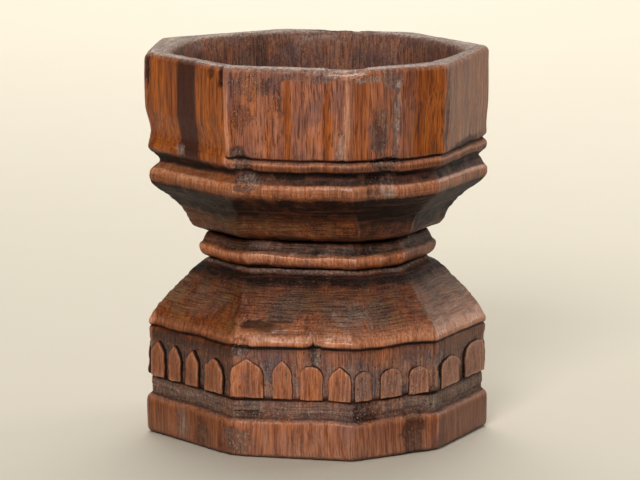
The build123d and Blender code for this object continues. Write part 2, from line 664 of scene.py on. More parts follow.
class CarvedSkin:
    """Closed surface swept round the octagon through a stack of stations.

    Lengths are in millimetres. The widest mouldings stand at a reach of WIDEST, which scars and
    noise are laid out on. Scars leave the inside of the bowl alone, which is nearer than
    INSIDE_HIGH above COLLAR_Z and nearer than INSIDE_LOW below it. Tints leave only its floor
    alone. A scar is flat out to SCAR_FLOOR of its size and slopes over the other SCAR_EDGE. No
    mask is stored above MOST, and lifts fade from the front by FRONT_POWER.
    """

    SMOOTHED = 2
    WIDEST = 66.0
    TOP_Z = 150.0
    COLLAR_Z = 100.0
    INSIDE_HIGH = 58.0
    INSIDE_LOW = 38.0
    INSIDE_FADE = 5.0
    SCAR_FLOOR = 0.58
    SCAR_EDGE = 0.42
    MOST = 1.5
    FRONT_POWER = 1.5

    def __init__(
        self,
        stations: Sequence[Station],
        scars: Sequence[Scar],
        tints: Sequence[Tint],
        plain_faces: Sequence[Face],
        seed: int,
        wrap: bool,
    ) -> None:
        """Takes what shapes the skin.

        Args:
            stations: levels of the profile, in order.
            scars: chips, dents, cracks and stains.
            tints: colour differences between faces.
            plain_faces: faces that were left without their mouldings.
            seed: seed of the unevenness.
            wrap: whether the last level joins the first, as round a bore.
        """
        self.stations = stations
        self.scars = scars
        self.tints = tints
        self.plain_faces = plain_faces
        self.grain = Grain(seed)
        self.wrap = wrap
        self.names = [f.name for f in fields(Station)]

    def rows(self) -> dict[str, np.ndarray]:
        """Stations resampled into rows.

        Returns:
            For each station field, its value on every row.
        """
        table = np.array([[getattr(s, n) for n in self.names] for s in self.stations])
        if self.wrap:
            table = np.vstack([table, table[:1]])
        parts = []
        for low, high in zip(table[:-1], table[1:]):
            length = math.hypot(high[0] - low[0], high[1] - low[1])
            count = max(1, round(length / high[self.names.index("step")]))
            share = np.arange(count)[:, None] / count
            parts.append(low * (1 - share) + high * share)
        if not self.wrap:
            parts.append(table[-1:])
        rows = np.vstack(parts)
        for _ in range(self.SMOOTHED):
            rows[1:-1, :2] = 0.25 * rows[:-2, :2] + 0.5 * rows[1:-1, :2] + 0.25 * rows[2:, :2]
        return {name: rows[:, i] for i, name in enumerate(self.names)}

    def plainness(self, places: np.ndarray) -> np.ndarray:
        """Share of the plain profile, faded over the corners.

        Args:
            places: face number and share of every column.

        Returns:
            A value from 0 to 1 for every column.
        """
        reaches, fade = 0.47, 0.05
        total = np.zeros(len(places))
        for face in self.plain_faces:
            off = np.abs(short_way(places - (face + 0.5)))
            total += 1.0 - np.clip((off - reaches) / fade, 0.0, 1.0)
        return np.clip(total, 0.0, 1.0)

    def build(self, name: str, material: bpy.types.Material) -> bpy.types.Object:
        """Makes the mesh object with its masks.

        Args:
            name: object name.
            material: finish.

        Returns:
            A closed mesh object at the origin.
        """
        r = self.rows()
        places = MAIN.places()
        columns = len(places)
        count = len(r["z"])
        sharp = MAIN.sharp()

        def towards(unit: np.ndarray, other: np.ndarray, key: str) -> np.ndarray:
            """Moves an outline towards another one by each row's share."""
            share = r[key][:, None, None]
            return unit * (1 - share) + other * share

        unit = towards(sharp[None], MAIN.soft()[None], "soft")
        unit = towards(unit, towards(WALL.sharp()[None], WALL.soft()[None], "soft"), "wall")
        unit = towards(unit, WAIST.soft()[None], "waist")
        unit = towards(unit, MAIN.round()[None], "round")
        level = {key: values[:, None] for key, values in r.items()}
        plain = self.plainness(places)[None]
        heading = np.arctan2(sharp[:, 0], -sharp[:, 1])
        front = np.clip(np.cos(heading), 0.0, 1.0)[None] ** self.FRONT_POWER
        z = level["z"] + level["plain_z"] * plain + level["front_lift"] * front
        reach = level["reach"] + level["plain_reach"] * plain
        around = np.broadcast_to(MAIN.run(self.WIDEST)[:-1][None], z.shape)
        climb = np.cumsum(np.hypot(np.diff(r["z"]), np.diff(r["reach"])))
        along = np.broadcast_to(np.concatenate([[0.0], climb])[:, None], z.shape)
        masks = {m: np.zeros(z.shape) for m in Mask}
        for mask in (Mask.DIRT, Mask.WEAR, Mask.GREY, Mask.CHATTER, Mask.GRAIN, Mask.PITTED):
            masks[mask] += level[mask.value] * (1.0 - level["moulded"] * plain)
        place = np.concatenate([unit * self.WIDEST, z[..., None]], axis=-1).reshape(-1, 3)
        reach, z = self._uneven(reach, z, level["wave"], place)
        reach, z = self._scarred(reach, z, around, place, masks)
        self._tinted(reach, z, places, place, masks)
        points = np.concatenate([unit * reach[..., None], z[..., None]], axis=-1)
        mesh = self._mesh(name, points.reshape(-1, 3) * MM, count, columns)
        self._store(mesh, masks, around, along, count * columns)
        mesh.materials.append(material)
        return new_object(name, mesh)

    def _uneven(
        self, reach: np.ndarray, z: np.ndarray, wave: np.ndarray, place: np.ndarray
    ) -> tuple[np.ndarray, np.ndarray]:
        """Makes the faces and their edges waver, as hand cutting leaves them.

        Args:
            reach: reach of every point.
            z: height of every point.
            wave: strength on every row.
            place: rough place of every point, for noise.

        Returns:
            The changed reach and height.
        """
        hollow = (
            self.grain.at(place, (21.0, 21.0, 13.0)) * 0.30
            + self.grain.at(place, (7.0, 7.0, 6.0)) * 0.10
        )
        drift = (
            self.grain.at(place + 50.0, (17.0, 17.0, 40.0)) * 0.55
            + self.grain.at(place, (6.0, 6.0, 20.0)) * 0.22
        )
        reach = reach - wave * np.clip(0.22 + hollow.reshape(z.shape), 0.0, 1.0)
        free = window(z, 0.0, self.TOP_Z, 6.0)
        return reach, z + np.clip(wave, 0.0, 1.0) * drift.reshape(z.shape) * free

    def _scarred(
        self,
        reach: np.ndarray,
        z: np.ndarray,
        around: np.ndarray,
        place: np.ndarray,
        masks: dict[Mask, np.ndarray],
    ) -> tuple[np.ndarray, np.ndarray]:
        """Cuts every scar into the reach and the height, and adds it to the masks.

        Args:
            reach: reach of every point.
            z: height of every point.
            around: distance along the outline of every point.
            place: rough place of every point, for noise.
            masks: masks to add to.

        Returns:
            The changed reach and height.
        """
        total = MAIN.run(self.WIDEST)[-1]
        starts = MAIN.run(self.WIDEST)[:: MAIN.per_face]
        inside = np.where(z > self.COLLAR_Z, self.INSIDE_HIGH, self.INSIDE_LOW)
        outside = np.clip((reach - inside) / self.INSIDE_FADE, 0.0, 1.0)
        fall = np.zeros(z.shape)
        jag = self.grain.at(place, (2.2, 2.2, 2.6)).reshape(z.shape)
        splinter = self.grain.at(place, (0.9, 0.9, 1.1)).reshape(z.shape)
        edge = 0.30 * jag + 0.16 * splinter
        bed = 1.0 + 0.30 * jag + 0.25 * splinter
        for scar in self.scars:
            centre = starts[scar.face] + scar.share * MAIN.width(scar.face, self.WIDEST)
            side = (around - centre + total / 2) % total - total / 2
            spread = (
                np.abs(side / scar.half_width) ** scar.square
                + np.abs((z - scar.z) / scar.half_height) ** scar.square
            ) ** (1.0 / scar.square)
            spread = spread + scar.ragged * edge
            hump = hump_of(np.clip((spread - self.SCAR_FLOOR) / self.SCAR_EDGE, 0.0, 1.0)) * outside
            reach = reach - scar.depth * hump * bed
            fall = fall + scar.drop * hump
            for mask in (Mask.DIRT, Mask.WEAR, Mask.GREY, Mask.DARK, Mask.WARM, Mask.PITTED):
                masks[mask] += getattr(scar, mask.value) * hump
        return reach, z - fall

    def _tinted(
        self,
        reach: np.ndarray,
        z: np.ndarray,
        places: np.ndarray,
        place: np.ndarray,
        masks: dict[Mask, np.ndarray],
    ) -> None:
        """Adds the face tints to the masks, outside the bowl's floor.

        Args:
            reach: reach of every point.
            z: height of every point.
            places: face number and share of every column.
            place: rough place of every point, for noise.
            masks: masks to add to.
        """
        side_fade, height_fade, widest_wander = 0.03, 1.5, 0.03
        past_floor = np.clip((reach - self.INSIDE_LOW) / self.INSIDE_FADE, 0.0, 1.0)
        outside = np.where(z > self.COLLAR_Z, 1.0, past_floor)
        wander = self.grain.at(place, (9.0, 9.0, 40.0)).reshape(z.shape) * widest_wander
        for tint in self.tints:
            share = short_way(places[None] - tint.face + wander)
            edge = window(share, tint.start, tint.stop, side_fade)
            height = window(z, tint.low, tint.high, height_fade)
            masks[tint.mask] += tint.value * edge * height * outside

    def _mesh(self, name: str, points: np.ndarray, count: int, columns: int) -> bpy.types.Mesh:
        """Joins the rows into quads, and closes or wraps the ends.

        Args:
            name: mesh name.
            points: row after row of points, in metres.
            count: number of rows.
            columns: points in each row.

        Returns:
            A closed mesh with smooth faces.
        """
        here = np.arange(columns)
        there = (here + 1) % columns
        faces: list[tuple[int, ...]] = []
        last = count if self.wrap else count - 1
        for row in range(last):
            low = row * columns
            high = ((row + 1) % count) * columns
            faces += list(zip(low + here, low + there, high + there, high + here))
        if not self.wrap:
            ends = [points[:columns].mean(0), points[-columns:].mean(0)]
            points = np.vstack([points, ends])
            bottom, top = count * columns, count * columns + 1
            high = (count - 1) * columns
            faces += [(bottom, b, a) for a, b in zip(here, there)]
            faces += [(top, high + a, high + b) for a, b in zip(here, there)]
        mesh = bpy.data.meshes.new(name)
        mesh.from_pydata(points.tolist(), [], [tuple(int(i) for i in f) for f in faces])
        mesh.polygons.foreach_set("use_smooth", [True] * len(mesh.polygons))
        mesh.update()
        return mesh

    def _store(
        self,
        mesh: bpy.types.Mesh,
        masks: dict[Mask, np.ndarray],
        around: np.ndarray,
        along: np.ndarray,
        ringed: int,
    ) -> None:
        """Writes masks and path coordinates to the mesh.

        Args:
            mesh: mesh to write to.
            masks: mask values of the ringed points.
            around: distance along the outline, in millimetres.
            along: distance along the profile, in millimetres.
            ringed: number of points that are in rows.
        """
        extra = len(mesh.vertices) - ringed
        for mask, values in masks.items():
            filled = np.concatenate([np.clip(values, 0.0, self.MOST).ravel(), np.zeros(extra)])
            write_layer(mesh, mask.value, filled.astype(np.float32))
        path = np.stack([around.ravel() * MM, along.ravel() * MM, np.zeros(ringed)], axis=1)
        path = np.vstack([path, np.zeros((extra, 3))])
        layer = mesh.attributes.new("path", "FLOAT_VECTOR", "POINT")
        layer.data.foreach_set("vector", path.astype(np.float32).ravel())


# ------------------------------ geometry nodes


class NodeTool:
    """A geometry-nodes tool that is run once on an object and leaves a plain mesh."""

    def __init__(self, name: str, inputs: dict[str, tuple[str, object]]) -> None:
        """Starts the node group, with its geometry sockets and its own inputs.

        Args:
            name: name of the tool.
            inputs: socket type and default value, by the input's name.
        """
        self.group = bpy.data.node_groups.new(name, "GeometryNodeTree")
        self.sockets: dict[str, str] = {}
        new_socket = self.group.interface.new_socket
        new_socket("Geometry", in_out="INPUT", socket_type="NodeSocketGeometry")
        for label, (kind, default) in inputs.items():
            socket = new_socket(label, in_out="INPUT", socket_type=kind)
            if default is not None:
                socket.default_value = default
            self.sockets[label] = socket.identifier
        new_socket("Geometry", in_out="OUTPUT", socket_type="NodeSocketGeometry")
        self.tree = Tree(self.group)
        self.entry = self.group.nodes.new("NodeGroupInput")

    def given(self, label: str) -> Wire:
        """Wire of one group input."""
        return Wire(self.tree, self.entry.outputs[label])

    def attribute(self, name: str) -> Wire:
        """Wire of one named float attribute."""
        return self.tree.node("GeometryNodeInputNamedAttribute", {"Name": name}, data_type="FLOAT")

    def close(self, geometry: Wire) -> None:
        """Ends the group with Realize Instances and Set Material.

        Args:
            geometry: what the tool has made.
        """
        real = self.tree.node("GeometryNodeRealizeInstances", {"Geometry": geometry})
        dressed = self.tree.node(
            "GeometryNodeSetMaterial", {"Geometry": real, "Material": self.given("Material")}
        )
        end = self.group.nodes.new("NodeGroupOutput")
        self.group.links.new(dressed.socket, end.inputs[0])

    def run(self, target: bpy.types.Object, **values: object) -> bpy.types.Object:
        """Runs the tool on an object and bakes the result.

        Args:
            target: mesh object; its mesh is replaced.
            **values: group inputs, with underscores for spaces.

        Returns:
            The same object with a plain mesh and no modifier.
        """
        modifier = target.modifiers.new(self.group.name, "NODES")
        modifier.node_group = self.group
        for label, value in values.items():
            modifier[self.sockets[label.replace("_", " ")]] = value
        graph = bpy.context.evaluated_depsgraph_get()
        graph.update()
        made = bpy.data.meshes.new_from_object(
            target.evaluated_get(graph), preserve_all_data_layers=True, depsgraph=graph
        )
        target.modifiers.clear()
        made.name = target.data.name
        target.data = made
        made.polygons.foreach_set("use_smooth", [True] * len(made.polygons))
        return target


class HandCarving(NodeTool):
    """Presses grain, tool lines and pits into a surface, inwards only."""

    def __init__(self) -> None:
        """Builds the tool's tree."""
        super().__init__(
            "hand_carving",
            {
                "Material": ("NodeSocketMaterial", None),
                "Grain Depth": ("NodeSocketFloat", 0.10),
                "Tool Depth": ("NodeSocketFloat", 0.35),
                "Pit Depth": ("NodeSocketFloat", 0.5),
                "Seed": ("NodeSocketFloat", 1.0),
            },
        )
        t = self.tree
        where = t.node("GeometryNodeInputPosition")
        shifted = t.vector("ADD", where, t.node("ShaderNodeCombineXYZ", {0: self.given("Seed")}))
        path = t.node("GeometryNodeInputNamedAttribute", {"Name": "path"}, data_type="FLOAT_VECTOR")
        grain = t.noise(shifted, (1.5, 1.5, 34.0), 2.0)
        tool = t.noise(path, (26.0, 1.7, 1.0), 2.0, 0.6)
        flat = t.noise(path, (9.0, 4.0, 1.0), 1.0)
        pit = t.noise(shifted, (1.6, 1.6, 1.9), 3.0, 0.7)
        depth = (
            grain.step(0.35, 0.7) * self.given("Grain Depth") * self.attribute("grain")
            + (tool.step(0.3, 0.7) * 0.7 + flat.step(0.35, 0.65) * 0.5)
            * self.given("Tool Depth") * self.attribute("chatter")
            + pit.step(0.35, 0.68) * self.given("Pit Depth") * self.attribute("pitted")
        )
        push = t.vector("SCALE", t.node("GeometryNodeInputNormal"), depth * -MM)
        surface = self.given("Geometry")
        self.close(t.node("GeometryNodeSetPosition", {"Geometry": surface, "Offset": push}))


class Arcade(NodeTool):
    """Sets a carved tongue on every point, sized and turned by the point's attributes."""

    def __init__(self) -> None:
        """Builds the tool's tree."""
        super().__init__(
            "arcade",
            {
                "Material": ("NodeSocketMaterial", None),
                "Tongue": ("NodeSocketObject", None),
                "Unevenness": ("NodeSocketFloat", 0.30),
                "Seed": ("NodeSocketFloat", 3.0),
            },
        )
        t = self.tree
        tongue = self.given("Tongue")
        shape = t.node("GeometryNodeObjectInfo", {"Object": tongue}, output="Geometry")
        turn = t.node("ShaderNodeCombineXYZ", {2: self.attribute("turn")})
        size = t.node(
            "ShaderNodeCombineXYZ",
            {0: self.attribute("wide"), 1: self.attribute("proud"), 2: self.attribute("tall")},
        )
        placed = t.node(
            "GeometryNodeInstanceOnPoints",
            {
                "Points": self.given("Geometry"),
                "Instance": shape,
                "Rotation": t.node("FunctionNodeEulerToRotation", {0: turn}),
                "Scale": size,
            },
        )
        real = t.node("GeometryNodeRealizeInstances", {"Geometry": placed})
        where = t.node("GeometryNodeInputPosition")
        shifted = t.vector("ADD", where, t.node("ShaderNodeCombineXYZ", {0: self.given("Seed")}))
        jitter = t.node(
            "ShaderNodeTexNoise",
            {"Vector": t.vector("SCALE", shifted, 260.0), "Scale": 1.0, "Detail": 3.0},
            output="Color",
        )
        centred = t.vector("SUBTRACT", jitter, (0.5, 0.5, 0.5))
        push = t.vector("SCALE", centred, self.given("Unevenness") * 4.0 * MM)
        self.close(t.node("GeometryNodeSetPosition", {"Geometry": real, "Offset": push}))


# ------------------------------ sub-assemblies


class Piece:
    """Base of the sub-assemblies: hands finished objects to the frame."""

    node: str
    slot: Slot

    def hand_over(self, made: bpy.types.Object) -> bpy.types.Object:
        """Ties an object to the frame in place of this piece's CAD node, and reports it.

        Args:
            made: finished mesh object.

        Returns:
            The same object.
        """
        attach(made, BODY)
        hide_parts(self.node)
        triangles = sum(len(p.vertices) - 2 for p in made.data.polygons)
        LOG.info("%s: %d triangles, stands for %s", made.name, triangles, self.node)
        return made


@dataclass
class Cup(Piece):
    """Bowl block with collar, funnel and tenon."""

    carving: HandCarving
    node: str = "cup"
    slot: Slot = Slot.BOWL
    seam_z: float = 79.0
    rim_z: float = 149.86
    floor_z: float = 88.6
    tenon_radius: float = 15.0
    tenon_low: float = 0.6
    kerf_top: float = 24.6
    kerf_mouth: float = 1.7
    kerf_tip: float = 0.4

    def stations(self) -> list[Station]:
        """Profile from the seam up the outside, over the rim and down the inside.

        Returns:
            Its levels, in order.
        """
        s = Station
        seam, rim = self.seam_z, self.rim_z
        under = dict(waist=1.0, soft=0.8, wave=0.3)
        neck = dict(waist=1.0, soft=0.8)
        wall = dict(soft=0.35, wall=1.0)
        return [
            s(seam, 15.6, 0.7, round=1.0, dirt=1.0, wave=0.0, soft=0.5),
            s(seam, 30.0, 0.7, dirt=1.0, step=5.0, **under),
            s(seam, 42.2, 0.7, dirt=1.2, step=2.0, **under),
            s(seam + 0.7, 43.8, 0.7, dirt=0.85, grain=0.4, chatter=0.5, **neck),
            s(81.2, 48.0, 0.67, dirt=0.55, chatter=0.7, grain=0.5, plain_reach=0.8, **neck),
            s(83.4, 49.7, 0.62, dirt=0.40, chatter=0.8, grain=0.6, plain_reach=0.8, **neck),
            s(86.2, 50.9, 0.5, dirt=0.42, chatter=0.9, grain=0.6, waist=0.85, soft=0.7,
                plain_reach=0.8),
            # Up to the collar the funnel darkens: grime in the cove, and painted shade under the
            # collar.
            s(88.6, 52.4, 0.39, dirt=0.60, chatter=1.0, grain=0.5, waist=0.7, soft=0.7,
                plain_reach=0.8),
            s(90.8, 54.4, 0.28, dirt=0.85, chatter=1.0, grain=0.4, waist=0.5, soft=0.7,
                plain_reach=0.8),
            s(93.4, 57.3, 0.17, dirt=0.92, chatter=0.9, grain=0.4, waist=0.3, soft=0.7,
                plain_reach=0.8),
            s(96.2, 61.4, 0.08, dirt=0.95, chatter=0.6, grain=0.4, waist=0.1, soft=0.6,
                plain_reach=0.8),
            s(98.6, 64.2, 0.06, dirt=0.95, plain_reach=0.4, soft=0.6),
            s(99.8, 65.2, dirt=0.55, wear=0.2, plain_reach=-0.4, soft=0.6, step=0.5),
            s(101.0, 66.0, wear=0.25, dirt=0.2, chatter=0.4, plain_reach=-0.7, soft=0.6, step=0.5),
            s(103.4, 66.0, 0.1, wear=0.45, chatter=0.4, plain_reach=-1.0, soft=0.6, step=0.45),
            # Collar crest: wear and a painted highlight along the edge.
            s(104.2, 65.4, 0.2, wear=1.1, plain_reach=-1.2, soft=0.6, step=0.4),
            s(105.0, 64.6, 0.3, wear=0.1, dirt=0.75, grey=0.20, pitted=0.35, plain_z=-0.3,
                plain_reach=-1.3, soft=0.6, moulded=0.7),
            s(107.2, 63.4, 0.6, dirt=0.95, grey=0.22, pitted=0.35, plain_z=-1.0, plain_reach=-2.2,
                soft=0.6, moulded=0.7),
            s(108.2, 62.3, 0.7, dirt=1.0, plain_z=-1.2, plain_reach=-1.4, soft=0.55, step=0.4),
            s(108.9, 62.6, 0.7, dirt=1.2, plain_z=-0.9, plain_reach=-1.3, soft=0.5, step=0.35),
            s(109.3, 64.8, 0.5, dirt=0.85, plain_z=0.4, plain_reach=-1.4, soft=0.45, wall=0.6,
                step=0.35),
            s(110.0, 65.7, 0.4, wear=0.1, dirt=0.5, plain_z=0.9, plain_reach=-0.6, soft=0.45,
                wall=0.6, step=0.35),
            s(111.3, 65.9, 0.4, wear=0.1, dirt=0.50, plain_z=0.8, plain_reach=-0.2, soft=0.45,
                wall=0.6, step=0.4, moulded=1.0),
            # Bead top: wear and a painted highlight.
            s(112.4, 65.7, 0.4, wear=0.6, plain_z=0.9, plain_reach=-0.1, soft=0.45, wall=0.7,
                step=0.35, moulded=1.0),
            s(113.2, 64.9, 0.4, wear=0.1, grey=0.3, pitted=0.4, plain_z=1.2, plain_reach=0.5,
                soft=0.45, wall=0.8, step=0.3, moulded=1.0),
            s(113.7, 64.0, 0.3, dirt=1.1, plain_z=1.0, plain_reach=1.1, soft=0.45, wall=0.9,
                step=0.3, moulded=1.0),
            s(114.2, 64.6, 0.3, dirt=0.9, plain_z=0.9, plain_reach=0.4, soft=0.4, wall=0.8,
                step=0.3, moulded=1.0),
            s(114.8, 65.9, 0.2, dirt=0.15, plain_z=0.8, plain_reach=-1.0, soft=0.4, wall=1.0,
                step=0.4, moulded=1.0),
            s(118.0, 65.7, plain_reach=-1.3, **wall),
            s(122.0, 65.9, plain_reach=-0.7, **wall),
            s(127.0, 66.3, plain_reach=0.1, step=0.9, **wall),
            s(140.0, 66.6, plain_reach=0.3, step=0.9, **wall),
            s(147.2, 66.6, plain_reach=0.2, step=0.7, **wall),
            s(148.8, 66.0, wear=0.25, grey=0.25, pitted=0.3, soft=0.5, wall=1.0, step=0.4),
            # The rim's pale grey: dust, and partly painted light on its up-facing top.
            s(rim - 0.3, 64.8, grey=1.3, pitted=0.2, chatter=0.4, soft=0.7, wall=1.0, step=0.4),
            s(rim, 62.3, grey=1.5, pitted=0.2, chatter=0.5, soft=0.9, wall=0.9, step=0.5,
                grain=0.0),
            s(rim - 0.3, 59.2, grey=1.5, pitted=0.25, chatter=0.5, soft=1.0, round=0.4, step=0.5,
                grain=0.0),
            s(rim - 1.6, 57.2, grey=0.4, dirt=0.25, pitted=0.6, soft=1.0, round=0.5, step=0.5),
            s(144.5, 56.0, dirt=0.22, grey=0.30, pitted=0.55, soft=1.0, round=0.6, step=1.0),
            s(130.0, 54.6, dirt=0.30, grey=0.30, pitted=0.6, soft=1.0, round=0.7, step=1.4),
            s(118.0, 52.6, dirt=0.5, grey=0.25, pitted=0.6, soft=1.0, round=0.8, step=2.0),
            s(108.0, 48.5, dirt=0.65, pitted=0.8, chatter=0.4, round=0.9, step=2.4),
            s(99.0, 40.0, dirt=0.7, pitted=0.7, chatter=0.6, round=1.0, step=2.4),
            s(93.0, 29.0, dirt=0.75, pitted=0.7, chatter=0.7, round=1.0, step=2.4),
            s(90.0, 16.0, dirt=0.8, pitted=0.6, chatter=0.7, round=1.0, step=2.4),
            s(self.floor_z, 1.2, dirt=0.8, pitted=0.6, round=1.0, step=2.4, wave=0.3),
        ]

    def scars(self) -> list[Scar]:
        """Chips, cracks and stains of the bowl.

        Returns:
            One scar for each.
        """
        c, f = Scar, Face
        return [
            c(f.FRONT, 0.10, 110.2, 5.6, 11.0, 2.6, 0.55, square=1.6, grey=0.32, dark=1.0,
                dirt=-0.3, pitted=1.1),
            c(f.FRONT, 0.13, 105.6, 8.0, 3.6, 0.8, 0.9, dirt=-0.3, grey=0.28, dark=0.7,
                pitted=1.0),
            c(f.FRONT, -0.03, 113.0, 1.5, 4.0, 0.0, 0.6, wear=1.0),
            c(f.LEFT_FRONT, 0.41, 113.6, 3.2, 3.0, 2.2, 0.4, square=4.0, dirt=0.1, grey=0.7,
                dark=0.4, pitted=0.6),
            c(f.LEFT_FRONT, 0.03, 143.0, 2.2, 9.0, 1.1, 0.7, dark=1.0, pitted=0.3),
            c(f.LEFT_FRONT, 0.97, 145.5, 1.6, 5.2, 1.3, 0.7, dark=1.1, dirt=0.5),
            c(f.LEFT_FRONT, 0.86, 146.2, 2.2, 2.6, 0.5, 0.6, dark=0.8),
            c(f.RIGHT_FRONT, 0.26, 104.8, 4.6, 6.0, 2.0, 0.5, square=3.0, dark=0.8, grey=0.3,
                pitted=0.9),
            c(f.RIGHT_FRONT, 0.41, 103.8, 3.6, 5.2, 0.9, 0.5, square=3.0, grey=1.3, pitted=0.4),
            c(f.RIGHT_FRONT, 0.38, 112.8, 7.0, 3.4, 0.9, 1.0, dirt=0.2, grey=0.5, pitted=1.2),
            c(f.RIGHT_FRONT, 0.50, 130.0, 1.7, 19.0, 0.8, 1.1, grey=0.85, pitted=0.8),
            c(f.RIGHT_FRONT, 0.33, 124.0, 5.0, 13.0, 0.35, 0.9, dark=0.6, grey=0.25, pitted=0.7),
            c(f.RIGHT_FRONT, 0.46, 145.0, 4.4, 5.0, 0.5, 0.9, grey=0.4, dark=0.35, pitted=0.9),
            c(f.RIGHT_FRONT, 0.20, 145.6, 6.0, 1.6, 0.4, 0.9, grey=0.8, pitted=1.0),
            c(f.FRONT, 0.955, 120.0, 2.0, 8.0, 0.4, 1.1, grey=0.5, pitted=0.6),
            c(f.RIGHT_FRONT, 0.01, 150.0, 10.0, 4.4, 1.2, 0.8, wear=0.7, grey=0.3, pitted=0.8,
                drop=1.9),
            c(f.RIGHT_FRONT, 0.0, 132.0, 1.4, 22.0, 0.2, 0.8, wear=0.9, grey=0.2),
            c(f.LEFT_FRONT, 0.0, 151.0, 9.0, 5.0, 0.4, 0.8, wear=0.3, pitted=0.6, drop=0.3),
            c(f.FRONT, 0.22, 142.0, 8.0, 7.0, 0.2, 1.2, dark=0.30, pitted=0.9, grey=0.1),
            c(f.FRONT, 0.14, 131.0, 5.0, 6.0, 0.25, 1.3, dark=0.35, pitted=0.9),
            c(f.FRONT, 0.42, 138.0, 4.0, 10.0, 0.15, 1.2, dark=0.3, pitted=0.7),
            c(f.FRONT, 0.70, 147.0, 14.0, 2.6, 0.2, 1.2, dark=0.3, pitted=0.6, grey=0.2),
            c(f.FRONT, 0.52, 130.0, 1.8, 26.0, 0.0, 0.6, warm=0.8),
            c(f.FRONT, 0.84, 127.0, 2.6, 20.0, 0.0, 0.6, warm=0.8),
            c(f.FRONT, 0.36, 120.0, 1.8, 9.0, 0.0, 0.5, warm=0.6),
            c(f.FRONT, 0.07, 125.0, 1.6, 14.0, 0.0, 0.5, warm=0.6),
            c(f.FRONT, 0.02, 128.0, 0.9, 26.0, 0.0, 0.6, wear=0.8),
            c(f.RIGHT, 0.45, 115.6, 19.0, 2.2, 0.1, 0.8, dark=0.8, dirt=0.4),
            c(f.RIGHT, 0.02, 128.0, 1.8, 20.0, 0.4, 0.8, grey=0.2, dark=0.6, pitted=0.7),
            c(f.BACK_RIGHT, 0.55, 149.5, 9.0, 2.4, 0.8, 1.0, wear=0.5, pitted=0.6, drop=0.5),
            c(f.RIGHT_BACK, 0.50, 111.5, 6.0, 5.0, 1.8, 0.8, square=3.0, grey=0.4, dark=0.5,
                pitted=1.0),
            c(f.BACK_LEFT, 0.98, 106.0, 5.0, 6.0, 1.9, 0.8, square=2.6, grey=0.4, dark=0.5,
                pitted=1.0),
            c(f.LEFT_BACK, 0.45, 132.0, 1.3, 20.0, 0.8, 0.8, dark=0.9, dirt=0.6),
            c(f.BACK_RIGHT, 0.20, 128.0, 5.0, 14.0, 0.3, 1.1, dark=0.35, pitted=0.9, grey=0.2),
            c(f.BACK_LEFT, 0.60, 135.0, 9.0, 9.0, 0.2, 1.2, dark=0.35, pitted=0.9),
            c(f.RIGHT_BACK, 0.15, 140.0, 6.0, 9.0, 0.2, 1.2, dark=0.3, pitted=0.9, grey=0.2),
        ]

    def tints(self) -> list[Tint]:
        """Colour differences between the faces.

        Returns:
            Tints to add to the masks.
        """
        t, f = Tint, Face
        warm = {
            f.LEFT_FRONT: 1.0, f.LEFT_BACK: 0.7, f.FRONT: 0.12, f.RIGHT_FRONT: 0.35,
            f.RIGHT: 0.75, f.RIGHT_BACK: 0.45, f.BACK_RIGHT: 0.2, f.BACK_LEFT: 0.55,
        }
        return warmth(warm, 78.0, 152.0) + [
            t(Mask.DARK, f.LEFT_FRONT, 1.15, 109.0, 152.0, 0.415, 0.69),
            t(Mask.DARK, f.LEFT_BACK, 0.5, 109.0, 152.0, 0.62, 0.8),
            t(Mask.WARM, f.FRONT, 0.5, 78.0, 114.0),
            t(Mask.WARM, f.RIGHT_FRONT, 0.35, 114.0, 149.0, 0.05, 0.22),
            t(Mask.WARM, f.RIGHT_FRONT, 0.60, 114.0, 149.0, 0.68, 1.0),
            t(Mask.DARK, f.RIGHT_FRONT, 0.20, 114.0, 149.0, 0.60, 1.0),
            # Painted shade on the funnel under the collar, strongest on the right face; darker
            # brown on the left-front face too.
            t(Mask.DIRT, f.LEFT_FRONT, 0.1, 82.0, 100.0),
            t(Mask.DARK, f.LEFT_FRONT, 0.25, 78.0, 100.0),
            t(Mask.DIRT, f.RIGHT_FRONT, 0.3, 82.0, 100.0),
            t(Mask.DIRT, f.RIGHT, 0.5, 82.0, 100.0),
            t(Mask.WEAR, f.LEFT_FRONT, 0.55, 101.5, 107.6),
            # Grey on the right face's wall and collar top: dust and a painted sheen, the reflection
            # of bright surroundings.
            t(Mask.GREY, f.RIGHT, 0.36, 114.0, 152.0),
            t(Mask.GREY, f.RIGHT, 0.40, 103.5, 109.0),
            t(Mask.DARK, f.BACK_LEFT, 0.6, 109.0, 152.0, 0.25, 0.42),
        ]

    def bowl(self, finish: bpy.types.Material) -> bpy.types.Object:
        """Makes the bowl's skin, inside and out.

        Args:
            finish: material.

        Returns:
            The bowl.
        """
        plain = [Face.LEFT_FRONT, Face.LEFT_BACK]
        skin = CarvedSkin(
            self.stations(), self.scars(), self.tints(), plain, seed=11, wrap=False
        )
        made = skin.build("cup_bowl", finish)
        self.carving.run(
            made, Material=finish, Grain_Depth=0.13, Tool_Depth=0.42, Pit_Depth=0.42, Seed=0.11
        )
        return self.hand_over(made)

    def tenon(self, finish: bpy.types.Material) -> bpy.types.Object:
        """Makes the round tenon with the saw kerf that the wedge fills.

        Args:
            finish: material.

        Returns:
            The tenon.
        """
        segments = 64
        half = segments // 2
        overlap = 1.2
        points: list[tuple[float, float, float]] = []
        faces: list[tuple[int, ...]] = []

        def ring(turns: Sequence[float], z: float) -> list[int]:
            """Adds a point at each turn round the tenon.

            Args:
                turns: angles, in radians.
                z: height.

            Returns:
                The new points' numbers.
            """
            first = len(points)
            for turn in turns:
                x, y = self.tenon_radius * math.cos(turn), self.tenon_radius * math.sin(turn)
                points.append((x * MM, y * MM, z * MM))
            return list(range(first, len(points)))

